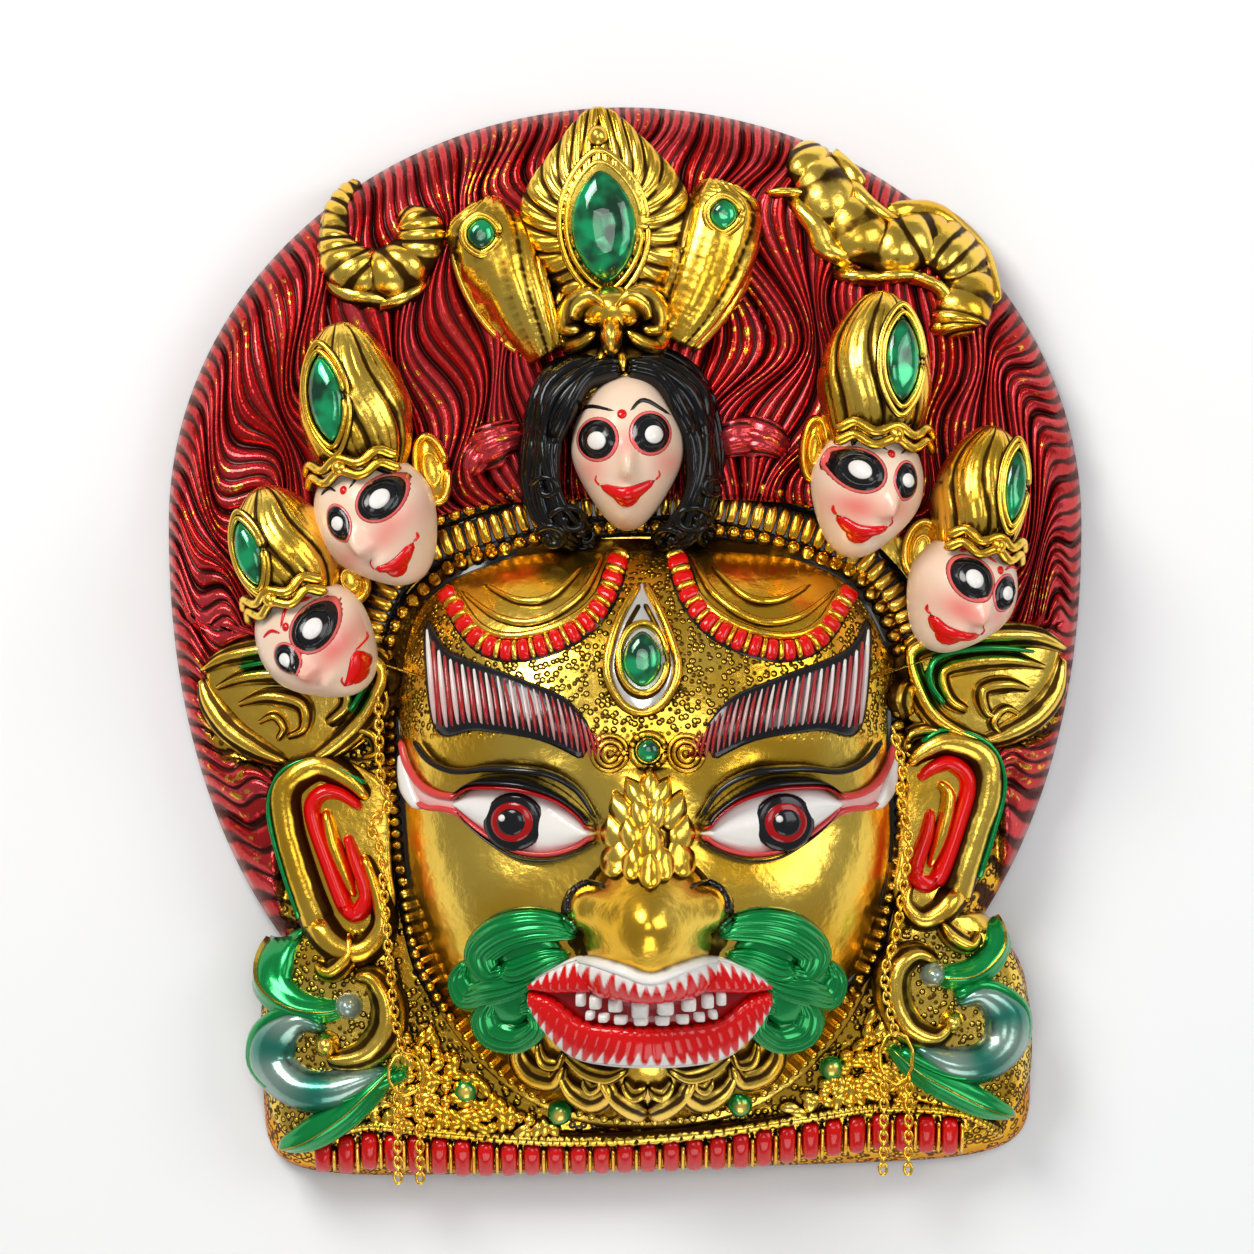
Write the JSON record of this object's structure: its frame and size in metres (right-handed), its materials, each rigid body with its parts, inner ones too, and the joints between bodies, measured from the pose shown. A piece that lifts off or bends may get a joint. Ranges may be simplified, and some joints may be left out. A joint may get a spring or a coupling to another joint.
{
  "type": "metal wall mask",
  "caption": "Beaten metal wall mask of a wrathful guardian, with a halo of hair locks, small painted heads, a leafed crown and set green stones.",
  "frame": {"origin": "on the plane of the back hem that the mask lies on, under the middle of its bounding box", "axes": "+Z out of the mask's face, +Y towards the crown, +X to the viewer's right"},
  "size_m": [0.3678, 0.4304, 0.1211],
  "materials": {
    "gilt_sheet": "polished, dark in the grooves, with candy red hair and green, red, black and white enamel",
    "gilt_crown": "polished, dark in the grooves",
    "painted_head": "satin flesh enamel with a gilt cap",
    "painted_head_dark": "satin flesh enamel with glossy black hair",
    "green_stone": "polished facets over foil",
    "chain_wire": "polished"
  },
  "bodies": {
    "root": {"mask_sheet": "gilt_sheet", "crown": "gilt_crown", "head_centre": "painted_head_dark", "head_left_upper": "painted_head", "head_left_lower": "painted_head", "head_right_upper": "painted_head", "head_right_lower": "painted_head", "stone_crown": "green_stone", "stone_petal_left": "green_stone", "stone_petal_right": "green_stone", "stone_left_upper": "green_stone", "stone_left_lower": "green_stone", "stone_right_upper": "green_stone", "stone_right_lower": "green_stone", "stone_forehead": "green_stone", "stone_root": "green_stone", "chain_left": "chain_wire", "chain_right": "chain_wire"}
  },
  "joints": []
}
